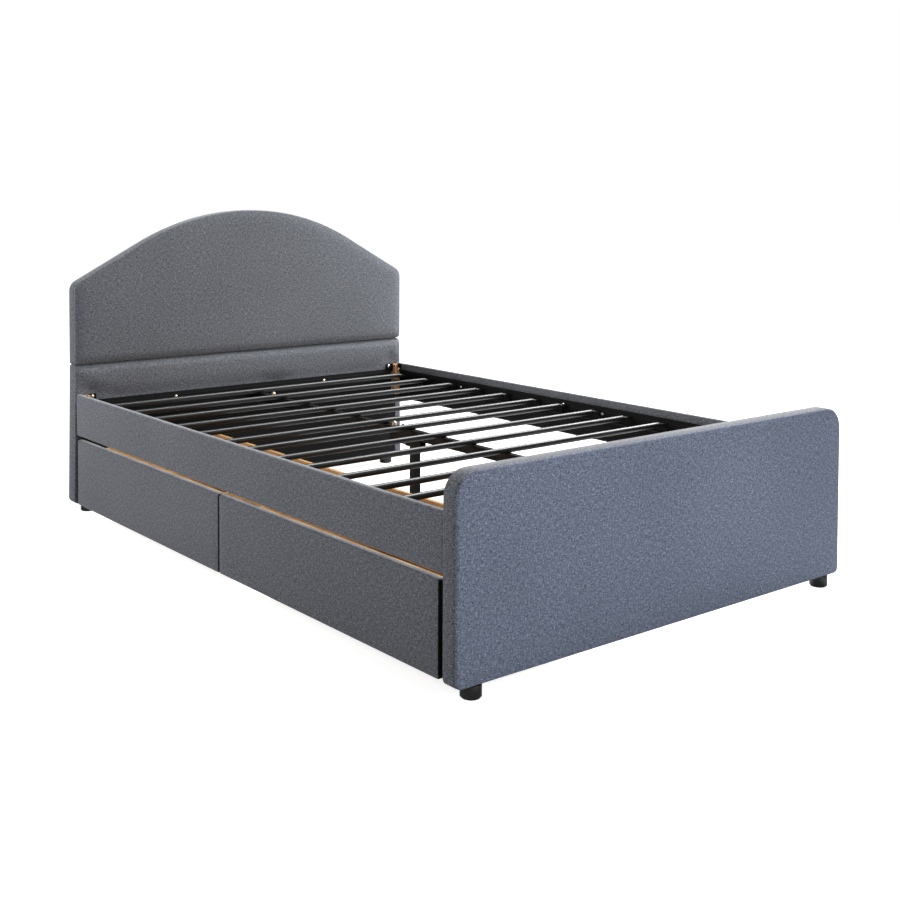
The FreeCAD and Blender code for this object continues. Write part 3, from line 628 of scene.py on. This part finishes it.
def build_back_cloth(low, high):
    """The dust cloth on the back, with its edge folded under."""
    outline = rounded_outline(arched_corners(low, high, BACK_CLOTH_ROUND, BACK_CLOTH_INSET))
    hem = [(0.0, 0.0, 0), (0.0004, 0.0014, 0), (0.0125, 0.0016, 0), (0.0145, 0.0009, 0)]
    plane = ((0, high.y - BACK_CLOTH_STEP, 0), (-1, 0, 0), (0, 0, 1), (0, 1, 0))

    def lift(points, faces, distance):
        return 0.0006 * ripple(points, 0.09, 9.0) * soft_rise(distance, 0.05)

    cloth = shell("headboard_back_cloth", outline, hem, plane, (lining,), lift)
    hand_over(cloth, "frame", "black_cloth", "headboard_rear_cover")


def build_headboard():
    upper_low, upper_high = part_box("headboard_upper_pad")
    lower_low, lower_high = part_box("headboard_lower_pad")
    rear_low, rear_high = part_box("headboard_rear_cover")
    split = (upper_low.z + lower_high.z) / 2
    plane = ((0, upper_low.y, 0), (1, 0, 0), (0, 0, 1), (0, -1, 0))
    back = upper_low.y - rear_high.y + BACK_CLOTH_STEP
    build_upper_pad(upper_low, upper_high, split, plane, back)
    build_lower_pad(lower_low, lower_high, split, plane, back)
    build_back_cloth(rear_low, rear_high)


# ---------------------------------------------------------------- footboard

def build_footboard():
    low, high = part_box("footboard_front_pad")
    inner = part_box("footboard_inner_cover")[1].y
    corners = [(low.x, low.z, FOOTBOARD_LOW_ROUND), (high.x, low.z, FOOTBOARD_LOW_ROUND),
               (high.x, high.z, FOOTBOARD_ROUND), (low.x, high.z, FOOTBOARD_ROUND)]
    plane = ((0, low.y, 0), (1, 0, 0), (0, 0, 1), (0, -1, 0))
    rings = back_roll(FOOTBOARD_REAR_ROUND, low.y - inner) + seamed_front()
    crown, width = FOOTBOARD_CROWN
    board = shell("footboard", rounded_outline(corners), rings, plane, (grey_fabric, front_fabric),
                  pad_lift(crown, width, 11.0), back=True)
    hand_over(board, "frame", "grey_fabric", "footboard_front_pad", "footboard_inner_cover")


# ---------------------------------------------------------------- side rails

RAIL_STATION = 0.016       # mesh size along the rail
RAIL_FLAP = 0.025          # cloth turned down inside the rail
RAIL_END_WIDTH = 0.03      # the crown grows over this length from each end
RAIL_END_SHARE = 0.3       # share of the crown at the very end
RAIL_WAVE = (0.0005, 0.13, 0.09)    # height, length along and up
RAIL_EDGE_WAVE = (0.0003, 0.08)     # height, length along


def rail_section(inner, outer, bottom, top):
    """The cover's section, (across, up): out over the top, down the face, and back inside."""
    skin_in, skin_out, turn = 0.0015, 0.004, 0.003
    path = [(inner, top - RAIL_FLAP), (inner, top, 0.004), (outer, top, 0.007),
            (outer, bottom, 0.006), (inner, bottom)]
    points = [Vector(path[0])]
    for before, (x, z, radius), after in zip(path, path[1:-1], path[2:]):
        here = Vector((x, z))
        a = (Vector(before[:2]) - here).normalized()
        b = (Vector(after[:2]) - here).normalized()
        centre = here + (a + b) * radius
        arm = -b * radius
        for k in range(QUARTER_STEPS + 1):
            points.append(centre + Matrix.Rotation(-math.pi / 2 * k / QUARTER_STEPS, 2) @ arm)
    points.append(Vector(path[-1]))
    face = []
    for here, there in zip(points, points[1:]):
        parts = max(1, round((there - here).length / FACE_STEP))
        face += [here.lerp(there, k / parts) for k in range(parts)]
    face.append(points[-1])
    within = [(inner, bottom + turn), (outer - skin_out, bottom + turn), (outer - skin_out, top - turn),
              (inner + skin_in, top - turn), (inner + skin_in, top - RAIL_FLAP)]
    return face, [Vector(p) for p in within]


def build_rail(side, sign, seed):
    """The cloth of one side rail: its section, laid along the rail and slightly crowned."""
    low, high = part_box(side + "_rail_cover")
    inner, outer = sorted((abs(low.x), abs(high.x)))
    face, within = rail_section(inner, outer, low.z, high.z)
    loop = face + within
    stations = np.linspace(low.y, high.y, round((high.y - low.y) / RAIL_STATION) + 1)
    middle, half = (low.z + high.z) / 2, (high.z - low.z) / 2
    high_wave, along, up = RAIL_WAVE
    edge_wave, edge_along = RAIL_EDGE_WAVE
    points, faces = [], []
    for y in stations:
        whole = min(1.0, RAIL_END_SHARE + min(y - low.y, high.y - y) / RAIL_END_WIDTH)
        lifted = edge_wave * noise.noise(Vector((y / edge_along, seed, 2.0)))
        for k, p in enumerate(loop):
            x = p.x
            if k < len(face) and p.x > inner + 0.006:
                rise = math.sqrt(max(0.0, 1 - ((p.y - middle) / half) ** 4)) * whole
                x += RAIL_CROWN * rise + high_wave * noise.noise(Vector((y / along, p.y / up, seed)))
            points.append((sign * x, y, p.y + lifted))
    count = len(loop)
    for s in range(len(stations) - 1):
        for k in range(count):
            j = (k + 1) % count
            cell = (s * count + k, s * count + j, (s + 1) * count + j, (s + 1) * count + k)
            faces.append(cell if sign < 0 else cell[::-1])
    last = (len(stations) - 1) * count
    caps = [list(range(count)), list(range(last, last + count))]
    faces += [caps[0][::-1] if sign < 0 else caps[0], caps[1] if sign < 0 else caps[1][::-1]]
    rail = make_object(side + "_rail_upholstery", points, faces, (grey_fabric,), [0] * len(faces))
    hand_over(rail, "frame", "grey_fabric", side + "_rail_cover")


# ---------------------------------------------------------------- drawers

def build_drawer_front(drawer, seed):
    """The cloth of a drawer's front; its end faces get the black lining as painted shade, for the deep shadow
    in which they lie.
    """
    low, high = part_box(drawer + "_front_cover")
    high.z += DRAWER_SWELL
    plane = ((low.x, 0, 0), (0, -1, 0), (0, 0, 1), (-1, 0, 0))
    corners = [(-high.y, low.z, DRAWER_ROUND), (-low.y, low.z, DRAWER_ROUND),
               (-low.y, high.z, DRAWER_ROUND), (-high.y, high.z, DRAWER_ROUND)]
    back = low.x - high.x
    rings = [(0.003, back, 0), (0.0004, back + 0.0006, 0), (0.0, back + 0.002, 0), (0.0, -0.006, 0)]
    rings += front_roll(DRAWER_EDGE, 0.0, -DRAWER_EDGE, 0)
    crown, width = DRAWER_CROWN

    def lift(points, faces, distance):
        loose = 0.0005 * ripple(points, 0.15, seed) * soft_rise(distance, 0.03)
        return crown * soft_rise(distance, width) + loose

    front = shell(drawer + "_upholstery", rounded_outline(corners), rings, plane, (grey_fabric, lining), lift)
    # painted shade: the end faces, which lie in deep shadow, get the black lining
    for cell in front.data.polygons:
        if abs(cell.normal.y) > 0.7:
            cell.material_index = 1
    hand_over(front, drawer, "grey_fabric", drawer + "_front_cover")


# ---------------------------------------------------------------- CAD nodes that stay

WELD_REACH = 0.00001
SHARP_ANGLE = math.radians(50)
STEEL_EDGE = 0.0006
PLASTIC_EDGE = 0.0015
WOOD_EDGE = 0.0010
STEEL_NODES = ("left_side_angles", "right_side_angles", "cross_bars", "centre_beam_foot", "centre_beam_head",
               "centre_beam_splice", "centre_leg", "corner_brackets")


def finish_node(name, material, edge=0.0):
    """Give a carried-over node its material and slightly broken edges."""
    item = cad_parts[name]
    item.data.materials.clear()
    item.data.materials.append(material)
    if edge:
        weld = item.modifiers.new("weld", "WELD")
        weld.merge_threshold = WELD_REACH
        bevel = item.modifiers.new("edge", "BEVEL")
        bevel.width = edge
        bevel.segments = 2
        bevel.limit_method = "ANGLE"
        bevel.angle_limit = SHARP_ANGLE
        bevel.harden_normals = True


def finish_nodes():
    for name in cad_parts:
        if name.startswith("slat_"):
            finish_node(name, slat_steel)
        elif name in STEEL_NODES:
            finish_node(name, frame_steel, STEEL_EDGE)
        elif name == "frame_bolts" or name.endswith("_caster_forks"):
            finish_node(name, zinc_plate)
        elif name.endswith("_wheel"):
            finish_node(name, caster_plastic)
        elif name in ("bed_feet", "centre_leg_glide"):
            finish_node(name, black_plastic, PLASTIC_EDGE)
        elif name == "corner_blocks":
            finish_node(name, softwood, WOOD_EDGE)
        elif name in ("rail_linings", "headboard_inner_lining"):
            finish_node(name, lining)
        elif name == "headboard_panel":
            finish_node(name, grey_fabric)
        elif name == "footboard_panel" or name.endswith("_box_sides"):
            finish_node(name, ply_y)
        elif name.endswith("_box_bottom"):
            finish_node(name, ply_z)
        elif name.endswith(("_rail_board", "_front_board", "_box_front", "_box_back")):
            finish_node(name, ply_x)


# ---------------------------------------------------------------- studio

# angles in radians, lens in millimetres
CAMERA_PLACE = (-2.4437, -3.1040, 1.1140)
CAMERA_YAW = 0.6591
CAMERA_PITCH = -0.04
CAMERA_ROLL = 0.003
CAMERA_LENS = 50.06
CAMERA_SHIFT = (0.0489, -0.2288)

WORLD_LIGHT = 0.12
FLOOR_HALF = 40.0
FLOOR_LIGHT = 0.03
FLOOR_NEAR = (1.6, 0.82)   # distance from the middle, and how bright the floor looks there
FLOOR_FAR = (4.5, 1.0)
# softboxes: place, the point they face, size and power
LAMPS = {
    "overhead": ((3.1, 0.3, 3.3), (0.3, 0.1, 0.3), (2.2, 4.2), 510),
    "right": ((3.2, 0.6, 2.2), (0.3, 0.8, 0.6), (1.6, 2.2), 35),
    "left": ((-3.4, 1.9, 1.9), (-0.7, 0.3, 0.3), (1.6, 2.0), 104),
    "front": ((-0.25, -4.3, 2.0), (0.0, -1.0, 0.3), (0.8, 1.8), 111),
}


def build_camera():
    camera = bpy.data.objects.new("camera", bpy.data.cameras.new("camera"))
    scene.collection.objects.link(camera)
    turn = Matrix.Rotation(-CAMERA_YAW, 4, "Z") @ Matrix.Rotation(math.pi / 2 + CAMERA_PITCH, 4, "X")
    camera.matrix_world = Matrix.Translation(CAMERA_PLACE) @ turn @ Matrix.Rotation(CAMERA_ROLL, 4, "Z")
    camera.data.lens = CAMERA_LENS
    camera.data.sensor_width = 36
    camera.data.shift_x, camera.data.shift_y = CAMERA_SHIFT
    scene.camera = camera


def softbox(name, spot, aim, size, power):
    lamp = bpy.data.lights.new(name, "AREA")
    lamp.shape = "RECTANGLE"
    lamp.size, lamp.size_y = size
    lamp.energy = power
    item = bpy.data.objects.new(name, lamp)
    item.location = spot
    item.rotation_euler = (Vector(aim) - Vector(spot)).to_track_quat("-Z", "Y").to_euler()
    scene.collection.objects.link(item)


def seen_or_lighting(nodes, links, lighting, seen):
    """A strength that is one value as light and another where the camera sees it directly."""
    path = nodes.new("ShaderNodeLightPath")
    strength = nodes.new("ShaderNodeMapRange")
    strength.inputs["To Min"].default_value = lighting
    if isinstance(seen, bpy.types.NodeSocket):
        links.new(seen, strength.inputs["To Max"])
    else:
        strength.inputs["To Max"].default_value = seen
    links.new(path.outputs["Is Camera Ray"], strength.inputs["Value"])
    return strength.outputs["Result"]


def build_studio():
    floor = bpy.data.objects.new("floor", bpy.data.meshes.new("floor"))
    corners = [(x * FLOOR_HALF, y * FLOOR_HALF, 0) for x, y in ((-1, -1), (1, -1), (1, 1), (-1, 1))]
    floor.data.from_pydata(corners, [], [(0, 1, 2, 3)])
    s = Shader("pale_floor", {"Roughness": 0.8, "Specular IOR Level": 0.1, "Emission Color": (1, 1, 1, 1)})
    stops = ((0.3, shade(0.52)), (0.7, shade(0.56)))
    s.set(s.surface, "Base Color", s.ramp(s.noise(s.place, 1.5, 3), stops))
    reach = s.add("VectorMath", {0: s.place}, output=1, operation="LENGTH")
    glow = s.add("MapRange", {0: reach, 1: FLOOR_NEAR[0], 2: FLOOR_FAR[0], 3: FLOOR_NEAR[1], 4: FLOOR_FAR[1]})
    s.set(s.surface, "Emission Strength", seen_or_lighting(s.nodes, s.links, FLOOR_LIGHT, glow))
    floor.data.materials.append(s.material)
    scene.collection.objects.link(floor)

    world = bpy.data.worlds.new("studio")
    world.use_nodes = True
    scene.world = world
    nodes, links = world.node_tree.nodes, world.node_tree.links
    background = nodes["Background"]
    background.inputs["Color"].default_value = (1.0, 1.0, 1.0, 1.0)
    links.new(seen_or_lighting(nodes, links, WORLD_LIGHT, 1.0), background.inputs["Strength"])
    for name, (spot, aim, size, power) in LAMPS.items():
        softbox(name, spot, aim, size, power)


build_headboard()
build_footboard()
build_rail("left", -1, 21.0)
build_rail("right", 1, 27.0)
build_drawer_front("foot_drawer", 31.0)
build_drawer_front("head_drawer", 37.0)
finish_nodes()
build_camera()
build_studio()
